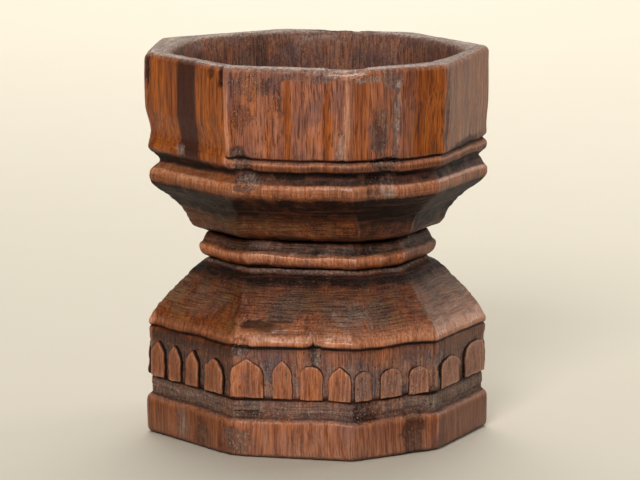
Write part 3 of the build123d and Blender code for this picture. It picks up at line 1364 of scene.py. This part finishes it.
        def beside_kerf(sign: int, gap: float, z: float) -> list[int]:
            """Adds a D-shaped ring.

            Args:
                sign: side of the kerf, 1 or -1.
                gap: half the kerf's width.
                z: height.

            Returns:
                The new points' numbers.
            """
            limit = math.asin(gap / self.tenon_radius)
            open_arc = math.pi - 2 * limit
            return ring([sign * (limit + open_arc * i / half) for i in range(half + 1)], z)

        def prism(low: list[int], high: list[int], flip: bool) -> None:
            """Closes the room between two rings.

            Args:
                low: points of the lower ring.
                high: points of the upper ring.
                flip: whether the rings run clockwise.
            """
            after = low[1:] + low[:1], high[1:] + high[:1]
            made = [*zip(low, after[0], after[1], high), tuple(reversed(low)), tuple(high)]
            faces.extend(tuple(reversed(face)) if flip else face for face in made)

        for sign in (1, -1):
            low = beside_kerf(sign, self.kerf_mouth, self.tenon_low)
            high = beside_kerf(sign, self.kerf_tip, self.kerf_top)
            prism(low, high, flip=sign < 0)
        turns = [2 * math.pi * i / segments for i in range(segments)]
        prism(ring(turns, self.kerf_top), ring(turns, self.seam_z + overlap), flip=False)
        mesh = bpy.data.meshes.new("cup_tenon")
        mesh.from_pydata(points, [], faces)
        for mask, value in ((Mask.DIRT, 0.45), (Mask.WARM, 0.5), (Mask.CHATTER, 0.3)):
            write_layer(mesh, mask.value, [value] * len(points))
        mesh.materials.append(finish)
        return self.hand_over(new_object("cup_tenon", mesh))

    def build(self, finish: bpy.types.Material) -> list[bpy.types.Object]:
        """Makes the cup's pieces."""
        return [self.bowl(finish), self.tenon(finish)]


@dataclass
class KnopRing(Piece):
    """Waist ring between the two carved grooves."""

    carving: HandCarving
    node: str = "knop_ring"
    slot: Slot = Slot.WAIST
    top_z: float = 79.0
    low_z: float = 68.6
    bore: float = 15.2

    def stations(self) -> list[Station]:
        """Profile round the ring's section, starting at the bore.

        Returns:
            Its levels, in order.
        """
        s = Station
        face = dict(waist=1.0, soft=0.8)
        bore = dict(round=1.0, wave=0.0, grain=0.0)
        return [
            s(self.low_z, self.bore, 0.6, dirt=1.0, **bore),
            s(self.low_z, 30.0, 0.6, dirt=1.0, wave=0.0, step=5.0, **face),
            s(self.low_z, 42.4, 0.6, dirt=1.2, wave=0.3, step=2.0, **face),
            s(69.2, 44.6, 0.7, dirt=0.8, step=0.4, **face),
            s(70.2, 45.7, 0.8, dirt=0.12, wear=0.15, step=0.4, **face),
            # Crest band: wear and a painted highlight, brightest near the top.
            s(71.9, 46.4, 0.7, wear=0.6, step=0.4, **face),
            s(73.4, 46.5, 0.5, wear=1.25, step=0.35, **face),
            s(74.3, 46.0, 0.5, dirt=0.25, wear=0.7, chatter=0.6, step=0.3, **face),
            s(75.2, 45.1, 0.6, dirt=0.80, grey=0.35, chatter=1.0, pitted=0.35, step=0.4, **face),
            s(77.0, 44.5, 0.6, dirt=0.70, grey=0.4, chatter=1.0, pitted=0.35, step=0.4, **face),
            s(78.3, 43.5, 0.7, dirt=0.75, chatter=0.8, step=0.4, **face),
            s(self.top_z, 42.4, 0.7, dirt=1.2, step=0.4, **face),
            s(self.top_z, 30.0, 0.7, dirt=1.0, wave=0.0, step=3.0, **face),
            s(self.top_z, self.bore, 0.7, dirt=1.0, step=5.0, **bore),
        ]

    def build(self, finish: bpy.types.Material) -> list[bpy.types.Object]:
        """Makes the ring.

        Args:
            finish: material.

        Returns:
            The ring's only object.
        """
        f = Face
        scars = [
            Scar(f.FRONT, 0.55, 74.6, 9.0, 1.2, 0.5, 1.0, dirt=0.4),
            Scar(f.RIGHT_FRONT, 0.30, 76.5, 8.0, 1.6, 0.5, 1.0, grey=0.4, pitted=0.8),
        ]
        warm = {
            f.LEFT_FRONT: 1.0, f.FRONT: 0.3, f.RIGHT_FRONT: 0.7, f.RIGHT: 0.6, f.LEFT_BACK: 0.8,
        }
        tints = warmth(warm, 60.0, 90.0) + [
            # Less wear and painted highlight on the crest band away from the front.
            Tint(Mask.WEAR, f.RIGHT, -1.1, 68, 76),
            Tint(Mask.WEAR, f.RIGHT_FRONT, -0.7, 68, 76, 0.55, 1.0),
            Tint(Mask.DARK, f.RIGHT, 0.30, 68, 76),
            Tint(Mask.WEAR, f.LEFT_FRONT, -0.3, 68, 76),
            # Grey on the ring's right face: dust and a painted sheen.
            Tint(Mask.GREY, f.RIGHT, 0.25, 74.5, 90),
        ]
        skin = CarvedSkin(self.stations(), scars, tints, [], seed=23, wrap=True)
        made = skin.build("knop_ring_band", finish)
        self.carving.run(
            made, Material=finish, Grain_Depth=0.08, Tool_Depth=0.40, Pit_Depth=0.35, Seed=0.23
        )
        return [self.hand_over(made)]


@dataclass(frozen=True)
class Tongue:
    """One tongue of the arcade: where it stands and its size in millimetres."""

    face: Face
    start: float
    stop: float
    tall: float
    proud: float = 1.0
    rounded: bool = False


@dataclass
class Foot(Piece):
    """Spreading foot with the carved arcade, groove band and plinth."""

    carving: HandCarving
    arcade: Arcade
    node: str = "foot"
    slot: Slot = Slot.FOOT
    top_z: float = 68.6
    bore: float = 15.2
    arcade_low: float = 22.9
    ground: float = 65.1

    def stations(self) -> list[Station]:
        """Profile from the base's bore outwards, up the outside and down the bore.

        Returns:
            Its levels, in order.
        """
        s = Station
        bore = dict(round=1.0, wave=0.0, grain=0.0)
        low = dict(soft=0.9)
        slope = dict(soft=0.6, wave=2.0)
        neck = dict(waist=1.0, soft=0.8)
        g = self.ground
        return [
            s(0.0, self.bore, dirt=0.5, **bore),
            s(0.0, 40.0, dirt=0.2, grey=0.3, wave=0.0, grain=0.0, step=6.0, **low),
            s(0.0, 64.8, dirt=0.3, grey=0.2, wave=0.3, grain=0.0, step=4.0, **low),
            s(0.4, 65.9, dirt=0.45, grey=0.3, step=0.35, **low),
            s(1.4, 66.5, wear=0.15, grey=0.2, step=0.5, **low),
            s(12.2, 66.6, wear=0.1, step=0.9, **low),
            s(13.8, 66.4, wear=0.45, step=0.5, **low),
            s(14.7, 65.7, wear=0.25, grey=0.35, pitted=0.4, soft=0.8, step=0.35),
            s(15.3, 64.7, dirt=0.65, grey=0.3, pitted=0.8, soft=0.7, step=0.35),
            s(16.2, 64.4, dirt=0.35, grey=0.45, pitted=0.9, chatter=0.6, soft=0.6, step=0.4),
            s(18.2, 64.7, dirt=0.10, grey=0.65, pitted=0.8, chatter=0.6, soft=0.6, step=0.5),
            s(20.6, 64.8, dirt=0.10, grey=0.60, pitted=0.8, chatter=0.6, soft=0.6, step=0.5),
            s(21.7, 64.6, dirt=0.30, grey=0.35, pitted=0.6, soft=0.6, step=0.4),
            s(22.3, 64.0, dirt=1.2, soft=0.6, step=0.3),
            s(22.9, g, dirt=0.75, pitted=0.5, soft=0.6, step=0.3),
            s(24.5, g, dirt=0.15, grey=0.45, pitted=0.8, soft=0.6, step=0.6),
            s(35.0, g, dirt=0.10, grey=0.45, pitted=0.8, plain_reach=-0.2, soft=0.6, step=0.8),
            s(37.5, g + 0.3, dirt=0.05, grey=0.25, pitted=0.5, plain_reach=-0.5, soft=0.6,
                step=0.6),
            s(40.2, g + 0.6, 0.2, dirt=0.05, grey=0.12, pitted=0.3, plain_reach=-0.9, soft=0.55,
                step=0.5),
            s(41.5, g + 0.3, 0.4, dirt=0.5, plain_reach=-1.1, soft=0.5, step=0.35),
            s(41.9, 64.7, 0.5, dirt=1.3, plain_reach=-1.4, soft=0.5, step=0.3),
            s(42.3, 65.4, 0.6, dirt=0.7, plain_reach=-1.6, soft=0.5, step=0.3),
            # Lower edge of the slope: wear and a painted highlight band.
            s(43.0, 65.8, 0.6, wear=0.6, plain_reach=-1.7, soft=0.5, step=0.4),
            s(44.4, 65.6, 0.6, wear=1.1, plain_reach=-1.8, soft=0.55, step=0.5),
            s(45.6, 65.1, 0.5, wear=0.9, chatter=0.2, plain_reach=-1.5, step=0.6, **slope),
            s(47.6, 64.3, 0.3, wear=0.55, chatter=0.6, plain_reach=-1.3, **slope),
            s(49.6, 62.9, 0.2, wear=0.22, chatter=0.8, plain_reach=-0.9, **slope),
            s(53.2, 59.9, dirt=0.10, chatter=0.9, pitted=0.15, plain_reach=-0.6, **slope),
            s(57.6, 55.7, dirt=0.22, chatter=1.0, pitted=0.2, waist=0.3, soft=0.6, wave=2.0),
            s(62.2, 51.3, dirt=0.50, chatter=1.0, pitted=0.3, waist=0.7, soft=0.65, wave=1.6),
            s(64.6, 48.8, dirt=0.92, chatter=0.9, pitted=0.4, waist=0.9, soft=0.7),
            s(66.0, 47.2, 0.1, dirt=1.0, chatter=0.7, pitted=0.4, step=0.5, **neck),
            s(66.7, 45.2, 0.2, dirt=0.90, pitted=0.5, step=0.4, **neck),
            s(67.3, 43.4, 0.3, dirt=0.40, grey=0.60, pitted=0.9, step=0.4, **neck),
            s(68.1, 42.9, 0.5, dirt=0.35, grey=0.60, pitted=0.9, step=0.4, **neck),
            s(self.top_z, 42.2, 0.6, dirt=1.2, step=0.4, **neck),
            s(self.top_z, 30.0, 0.6, dirt=1.0, wave=0.0, step=3.0, **neck),
            s(self.top_z, self.bore, 0.6, dirt=1.0, step=5.0, **bore),
            s(35.0, self.bore, dirt=1.0, step=12.0, **bore),
        ]

    def scars(self) -> list[Scar]:
        """Chips, cracks, stains and a painted corner highlight of the foot.

        Returns:
            One scar for each.
        """
        c, f = Scar, Face
        return [
            c(f.FRONT, 0.06, 42.6, 5.2, 4.0, 1.8, 0.8, square=2.4, dark=0.45, pitted=1.0,
                grey=0.4),
            c(f.FRONT, 0.69, 41.6, 3.0, 6.0, 1.9, 0.7, square=2.6, dark=0.30, pitted=1.1,
                grey=0.6),
            c(f.FRONT, 0.665, 41.0, 0.6, 7.5, 0.8, 0.7, dark=1.0, dirt=0.5),
            c(f.FRONT, 0.17, 50.4, 10.0, 1.7, 1.5, 0.8, dark=0.9, dirt=0.5),
            c(f.FRONT, 0.34, 52.3, 8.0, 0.7, 0.6, 0.9, dark=0.5, dirt=0.4),
            c(f.FRONT, 0.50, 48.2, 13.0, 0.8, 0.45, 0.9, dirt=0.4),
            c(f.RIGHT_FRONT, 0.05, 54.0, 9.0, 6.5, 0.3, 1.1, grey=0.5, pitted=0.6),
            c(f.RIGHT_FRONT, 0.35, 54.0, 9.0, 6.5, 0.3, 1.1, dark=0.35, pitted=0.7, grey=0.2),
            c(f.FRONT, 0.38, 57.0, 11.0, 6.0, 0.2, 1.2, dark=0.15, grey=0.15, pitted=0.4),
            c(f.FRONT, 0.82, 58.0, 8.0, 5.0, 0.2, 1.2, dark=0.25, grey=0.2, pitted=0.4),
            c(f.FRONT, 0.45, 45.4, 9.0, 1.4, 0.0, 0.9, wear=0.5),
            c(f.FRONT, 0.82, 45.2, 8.0, 1.8, 0.0, 0.9, wear=0.9, grey=0.25),
            c(f.FRONT, 0.04, 7.0, 7.5, 5.0, 0.45, 1.1, dark=0.7, pitted=1.1, grey=0.2),
            c(f.FRONT, 0.10, 16.2, 7.0, 1.8, 0.9, 0.8, dark=0.6, pitted=0.8),
            c(f.RIGHT_FRONT, 0.70, 7.0, 6.0, 12.0, 0.3, 1.0, dark=1.15, pitted=0.6),
            c(f.RIGHT_FRONT, 0.16, 18.0, 7.0, 4.4, 0.7, 1.0, square=2.6, dirt=0.35, pitted=1.4,
                warm=0.6),
            c(f.RIGHT_FRONT, 0.95, 20.0, 3.4, 5.0, 0.6, 1.0, dark=0.6, grey=0.4, pitted=1.0),
            c(f.LEFT_FRONT, 0.42, 8.0, 5.0, 8.0, 0.2, 1.1, grey=0.3, dark=0.3, pitted=0.3),
            c(f.LEFT_FRONT, 0.66, 6.0, 6.0, 6.0, 0.4, 1.1, dark=0.45, pitted=0.7),
            c(f.LEFT_FRONT, 0.98, 2.0, 8.0, 5.0, 0.3, 0.9, dark=0.25, pitted=0.6),
            c(f.RIGHT, 0.10, 34.0, 4.0, 8.0, 0.5, 0.9, grey=0.5, dark=0.3, pitted=0.9),
            c(f.RIGHT, 0.45, 60.0, 13.0, 0.9, 0.4, 0.7, dark=0.7),
            c(f.RIGHT, 0.40, 44.5, 15.0, 1.8, 0.0, 0.7, dark=0.4),
            c(f.LEFT_FRONT, 0.55, 57.0, 15.0, 8.0, 0.15, 1.1, grey=0.22),
            # Painted highlight with some wear down the corner between the left-front and front
            # faces.
            c(f.FRONT, 0.0, 47.0, 3.4, 7.0, 0.0, 0.8, wear=0.8, warm=0.5),
            c(f.FRONT, 0.20, 6.0, 1.2, 6.0, 0.2, 0.9, dark=0.6),
            c(f.FRONT, 0.55, 8.0, 5.0, 6.0, 0.0, 1.2, dark=0.25, pitted=0.3),
            c(f.BACK_RIGHT, 0.30, 43.4, 6.0, 3.6, 1.7, 0.8, square=3.0, dark=0.5, pitted=1.0),
            c(f.BACK_LEFT, 0.70, 9.0, 1.2, 12.0, 0.9, 0.7, dark=0.9, dirt=0.6),
            c(f.LEFT_BACK, 0.30, 52.0, 9.0, 6.0, 0.4, 1.1, dark=0.4, pitted=0.6),
            c(f.RIGHT_BACK, 0.98, 1.5, 6.0, 4.5, 1.5, 0.9, wear=0.5, pitted=1.0),
            c(f.BACK_LEFT, 0.30, 54.0, 10.0, 5.0, 0.3, 1.1, dark=0.35, pitted=0.7),
            c(f.RIGHT_BACK, 0.50, 55.0, 12.0, 1.2, 0.8, 0.8, dark=0.8),
        ]

    def tints(self) -> list[Tint]:
        """Colour differences between the faces.

        Returns:
            Tints to add to the masks.
        """
        t, f = Tint, Face
        warm = {
            f.LEFT_FRONT: 1.0, f.FRONT: 0.25, f.RIGHT_FRONT: 0.45, f.RIGHT: 0.7,
            f.RIGHT_BACK: 0.4, f.BACK_LEFT: 0.6, f.LEFT_BACK: 0.8,
        }
        return warmth(warm, -1.0, 70.0) + [
            t(Mask.DARK, f.LEFT_FRONT, 0.30, 48, 70),
            t(Mask.DARK, f.LEFT_FRONT, 0.45, 42, 48),
            t(Mask.WEAR, f.LEFT_FRONT, -0.6, 42, 52),
            t(Mask.DARK, f.LEFT_FRONT, 0.80, 36.5, 42.0),
            t(Mask.DIRT, f.LEFT_FRONT, 0.35, 23.0, 42.0),
            t(Mask.DARK, f.LEFT_FRONT, 0.45, -1, 36.5),
            t(Mask.DARK, f.RIGHT, 0.55, -1, 42),
            t(Mask.DARK, f.RIGHT_FRONT, 0.12, -1, 15),
            t(Mask.WARM, f.FRONT, 0.35, 42, 52),
            t(Mask.WEAR, f.FRONT, 0.15, -1, 14),
            # Grey on the right face of the slope: dust and a painted sheen.
            t(Mask.GREY, f.RIGHT, 0.42, 46, 66),
            t(Mask.DARK, f.RIGHT_BACK, 0.4, -1, 22, 0.3, 0.5),
        ]

    def tongues(self) -> list[Tongue]:
        """The arcade, face by face; the tongues of the first four faces are listed one by one.

        Returns:
            Its tongues; the back faces hold even rows.
        """
        g, f = Tongue, Face
        made = [
            g(f.LEFT_FRONT, 0.05, 0.21, 14.4, 1.25),
            g(f.LEFT_FRONT, 0.265, 0.40, 14.2, 1.3),
            g(f.LEFT_FRONT, 0.475, 0.62, 14.2, 1.35),
            g(f.LEFT_FRONT, 0.70, 0.905, 13.6, 1.25),
            g(f.FRONT, -0.015, 0.265, 15.4, 0.75),
            g(f.FRONT, 0.335, 0.50, 15.2, 0.7),
            g(f.FRONT, 0.565, 0.755, 13.6, 0.7, True),
            g(f.FRONT, 0.795, 0.99, 13.4, 0.7),
            g(f.RIGHT_FRONT, 0.02, 0.22, 11.5, 0.30, True),
            g(f.RIGHT_FRONT, 0.32, 0.58, 11.4, 0.50, True),
            g(f.RIGHT_FRONT, 0.66, 0.90, 11.0, 0.50, True),
            g(f.RIGHT, 0.07, 0.45, 11.6, 0.5, True),
            g(f.RIGHT, 0.55, 0.96, 13.5, 0.7, True),
        ]
        rest = {f.RIGHT_BACK: 5, f.BACK_RIGHT: 4, f.BACK_LEFT: 4, f.LEFT_BACK: 4}
        gap, usual, uneven, proud = 0.13, 14.2, 0.9, 0.95
        for face, count in rest.items():
            for i in range(count):
                start, stop = (i + gap) / count, (i + 1 - gap) / count
                tall = usual + uneven * math.sin(2.3 * i + 1.7 * face)
                made.append(g(face, start, stop, tall, proud, (i + face) % 3 == 0))
        return made

    def tongue_shape(self, rounded: bool) -> bpy.types.Object:
        """Makes one tongue of unit width and height, one millimetre proud along -Y.

        Args:
            rounded: a round-headed tongue instead of a pointed one.

        Returns:
            An object that the arcade copies.
        """
        head = 0.68 if rounded else 0.60
        straight, curved = 10, 24
        outline = [(-0.5 + i / straight, 0.0) for i in range(straight)]
        outline += [(0.5, head * i / straight) for i in range(straight)]
        for i in range(curved):
            x = 0.5 - i / curved
            arch = math.sqrt(max(0.0, 1.0 - (2 * x) ** 2))
            rise = arch if rounded else 0.55 * arch + 0.45 * (1.0 - abs(2 * x))
            outline.append((x, head + (1.0 - head) * rise))
        outline += [(-0.5, head * (1 - i / straight)) for i in range(straight)]
        edge = np.array(outline)
        middle = np.array([0.0, 0.46])
        # Scale of the outline, how far out it stands, grime-and-shade and wear-and-highlight
        # amounts, from the back to the crown.
        rings = [
            (1.00, -1.6, 1.0, 0.0), (1.00, -0.2, 1.1, 0.0), (0.995, 0.35, 0.95, 0.0),
            (0.97, 0.72, 0.45, 0.5), (0.93, 0.98, 0.05, 0.85), (0.86, 1.10, 0.0, 0.55),
            (0.70, 1.17, 0.0, 0.35), (0.45, 1.22, 0.0, 0.3), (0.20, 1.24, 0.0, 0.3),
        ]
        size = len(edge)
        points = [
            (x * MM, -out * MM, z * MM)
            for scale, out, _, _ in rings
            for x, z in (edge - middle) * scale + middle
        ]
        faces: list[tuple[int, ...]] = []
        for low in range(0, (len(rings) - 1) * size, size):
            for i in range(size):
                j = (i + 1) % size
                faces.append((low + i, low + j, low + size + j, low + size + i))
        faces.append(tuple(range((len(rings) - 1) * size, len(rings) * size)))
        faces.append(tuple(reversed(range(size))))
        mesh = bpy.data.meshes.new("tongue_shape")
        mesh.from_pydata(points, [], faces)
        write_layer(mesh, Mask.DIRT.value, [dirt for _, _, dirt, _ in rings for _ in edge])
        write_layer(mesh, Mask.WEAR.value, [wear for _, _, _, wear in rings for _ in edge])
        write_layer(mesh, Mask.GRAIN.value, [1.0] * len(points))
        return bpy.data.objects.new("tongue_shape", mesh)

    def tongue_row(
        self,
        name: str,
        chosen: Sequence[Tongue],
        shape: bpy.types.Object,
        finish: bpy.types.Material,
    ) -> bpy.types.Object:
        """Sets out one kind of tongue round the foot.

        Args:
            name: object name.
            chosen: tongues of this kind.
            shape: the tongue to copy.
            finish: material.

        Returns:
            A plain mesh object with all of them.
        """
        corners = MAIN.corners() * self.ground
        ageing = (Mask.WARM, Mask.DARK, Mask.PITTED, Mask.GREY)
        common = (0.45, 0.0, 0.15, 0.0)
        tones = {
            Face.LEFT_FRONT: (0.95, 0.42, 0.1, 0.0),
            Face.RIGHT: (0.7, 0.35, 0.6, 0.25),
            Face.RIGHT_FRONT: (0.45, 0.20, 0.9, 0.30),
        }
        labels = ("turn", "wide", "proud", "tall", *(mask.value for mask in ageing))
        points, rows = [], []
        for tongue in chosen:
            first = corners[tongue.face]
            run = corners[(tongue.face + 1) % len(corners)] - first
            middle = first + run * (tongue.start + tongue.stop) / 2
            points.append((middle[0] * MM, middle[1] * MM, self.arcade_low * MM))
            turn = math.atan2(run[1], run[0])
            wide = float(np.linalg.norm(run)) * (tongue.stop - tongue.start)
            tone = tones.get(tongue.face, common)
            rows.append((turn, wide, tongue.proud, tongue.tall, *tone))
        mesh = bpy.data.meshes.new(name)
        mesh.from_pydata(points, [], [])
        for label, values in zip(labels, zip(*rows)):
            write_layer(mesh, label, values)
        made = new_object(name, mesh)
        return self.arcade.run(made, Material=finish, Tongue=shape, Unevenness=0.34, Seed=0.4)

    def build(self, finish: bpy.types.Material) -> list[bpy.types.Object]:
        """Makes the foot block and its tongues.

        Args:
            finish: material.

        Returns:
            The block and its two kinds of tongue.
        """
        skin = CarvedSkin(
            self.stations(), self.scars(), self.tints(), [Face.LEFT_FRONT], seed=37, wrap=True
        )
        block = skin.build("foot_block", finish)
        self.carving.run(
            block, Material=finish, Grain_Depth=0.12, Tool_Depth=0.50, Pit_Depth=0.45, Seed=0.37
        )
        made = [self.hand_over(block)]
        for rounded, name in ((False, "foot_tongues_pointed"), (True, "foot_tongues_rounded")):
            chosen = [g for g in self.tongues() if g.rounded is rounded]
            row = self.tongue_row(name, chosen, self.tongue_shape(rounded), finish)
            made.append(self.hand_over(row))
        return made


@dataclass
class TenonWedge(Piece):
    """Wedge in the end of the tenon; the CAD solid is right and stays."""

    node: str = "tenon_wedge"
    slot: Slot = Slot.WEDGE

    def build(self, finish: bpy.types.Material) -> list[bpy.types.Object]:
        """Dresses the CAD solid.

        Args:
            finish: material.

        Returns:
            The CAD node's object.
        """
        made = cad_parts[self.node]
        made.data.materials.clear()
        made.data.materials.append(finish)
        LOG.info("%s: CAD solid kept", made.name)
        return [made]


# ------------------------------ studio


@dataclass(frozen=True)
class Studio:
    """Plain pale floor, soft light and the camera."""

    distance: float = 1.600
    elevation: float = 10.0
    target_z: float = 0.075
    lens: float = 229.9
    shift_x: float = 0.0034
    shift_y: float = -0.0042

    def floor(self) -> bpy.types.Object:
        """Makes a wide round floor that curves up at its rim.

        Returns:
            The floor.
        """
        segments, flat, bend, top, sink = 64, 2.8, 0.6, 2.2, 0.0002
        turns = [2 * math.pi * i / segments for i in range(segments)]
        bends = [math.pi / 2 * i / 8 for i in range(1, 9)]
        profile = [(flat - 0.1, 0.0), (flat, 0.0)]
        profile += [(flat + bend * math.sin(b), bend * (1 - math.cos(b))) for b in bends]
        profile.append((flat + bend, top))
        points = [(r * math.cos(a), r * math.sin(a), z - sink) for r, z in profile for a in turns]
        faces = [tuple(range(segments))]
        for low in range(0, (len(profile) - 1) * segments, segments):
            for i in range(segments):
                j = (i + 1) % segments
                faces.append((low + i, low + segments + i, low + segments + j, low + j))
        mesh = bpy.data.meshes.new("floor")
        mesh.from_pydata(points, [], faces)
        mesh.polygons.foreach_set("use_smooth", [False] + [True] * (len(faces) - 1))
        mesh.materials.append(Plaster("studio_floor", (0.60, 0.56, 0.485)).build())
        made = new_object("floor", mesh)
        return made

    def lamp(
        self, name: str, place: tuple, aim: tuple, size: float, power: float, tint: tuple
    ) -> None:
        """Adds one soft area light.

        Args:
            name: object name.
            place: where it hangs, in metres.
            aim: point it faces.
            size: edge of its square.
            power: watts.
            tint: colour of the light.
        """
        data = bpy.data.lights.new(name, "AREA")
        data.size = size
        data.energy = power
        data.color = tint
        made = new_object(name, data)
        made.location = place
        made.rotation_euler = (Vector(aim) - Vector(place)).to_track_quat("-Z", "Y").to_euler()

    def world(self) -> None:
        """Sets a pale even surrounding."""
        world = bpy.data.worlds.new("studio")
        world.use_nodes = True
        world.node_tree.nodes.clear()
        t = Tree(world.node_tree)
        glow = t.node("ShaderNodeBackground", {"Color": (1.0, 0.96, 0.88), "Strength": 0.16})
        t.node("ShaderNodeOutputWorld", {"Surface": glow})
        bpy.context.scene.world = world

    def camera(self) -> None:
        """Sets the camera a little above the object, looking at its middle."""
        data = bpy.data.cameras.new("camera")
        data.lens = self.lens
        data.sensor_width = 36.0
        data.shift_x = self.shift_x
        data.shift_y = self.shift_y
        data.clip_end = 50.0
        made = new_object("camera", data)
        tilt = math.radians(self.elevation)
        made.location = (
            0.0,
            -self.distance * math.cos(tilt),
            self.target_z + self.distance * math.sin(tilt),
        )
        made.rotation_euler = (math.pi / 2 - tilt, 0.0, 0.0)
        bpy.context.scene.camera = made

    def build(self) -> None:
        """Makes the whole studio."""
        self.floor()
        self.world()
        self.lamp("key", (-0.35, -1.45, 1.0), (0, 0, 0.08), 0.5, 21.0, (1.0, 0.96, 0.90))
        self.lamp("top", (0.0, 0.35, 1.5), (0, 0.1, 0.05), 0.8, 4.0, (1.0, 0.98, 0.95))
        self.lamp("right", (1.0, 0.55, 0.45), (0, 0, 0.08), 0.6, 4.0, (1.0, 0.97, 0.90))
        self.lamp("far", (0.0, 1.7, 1.4), (0, 1.5, 0.0), 1.6, 41.0, (1.0, 0.975, 0.90))
        self.camera()
        bpy.context.scene.view_settings.view_transform = "Standard"


# ------------------------------ main


def main() -> None:
    """Builds the goblet and its studio."""
    carving = HandCarving()
    arcade = Arcade()
    woods = {slot: AgedWood(slot.value) for slot in Slot}
    woods[Slot.WEDGE] = AgedWood(Slot.WEDGE.value, coat=0.0)
    for piece in (Cup(carving), KnopRing(carving), Foot(carving, arcade), TenonWedge()):
        piece.build(woods[piece.slot].build())
    Studio().build()


if __name__ == "__main__":
    main()
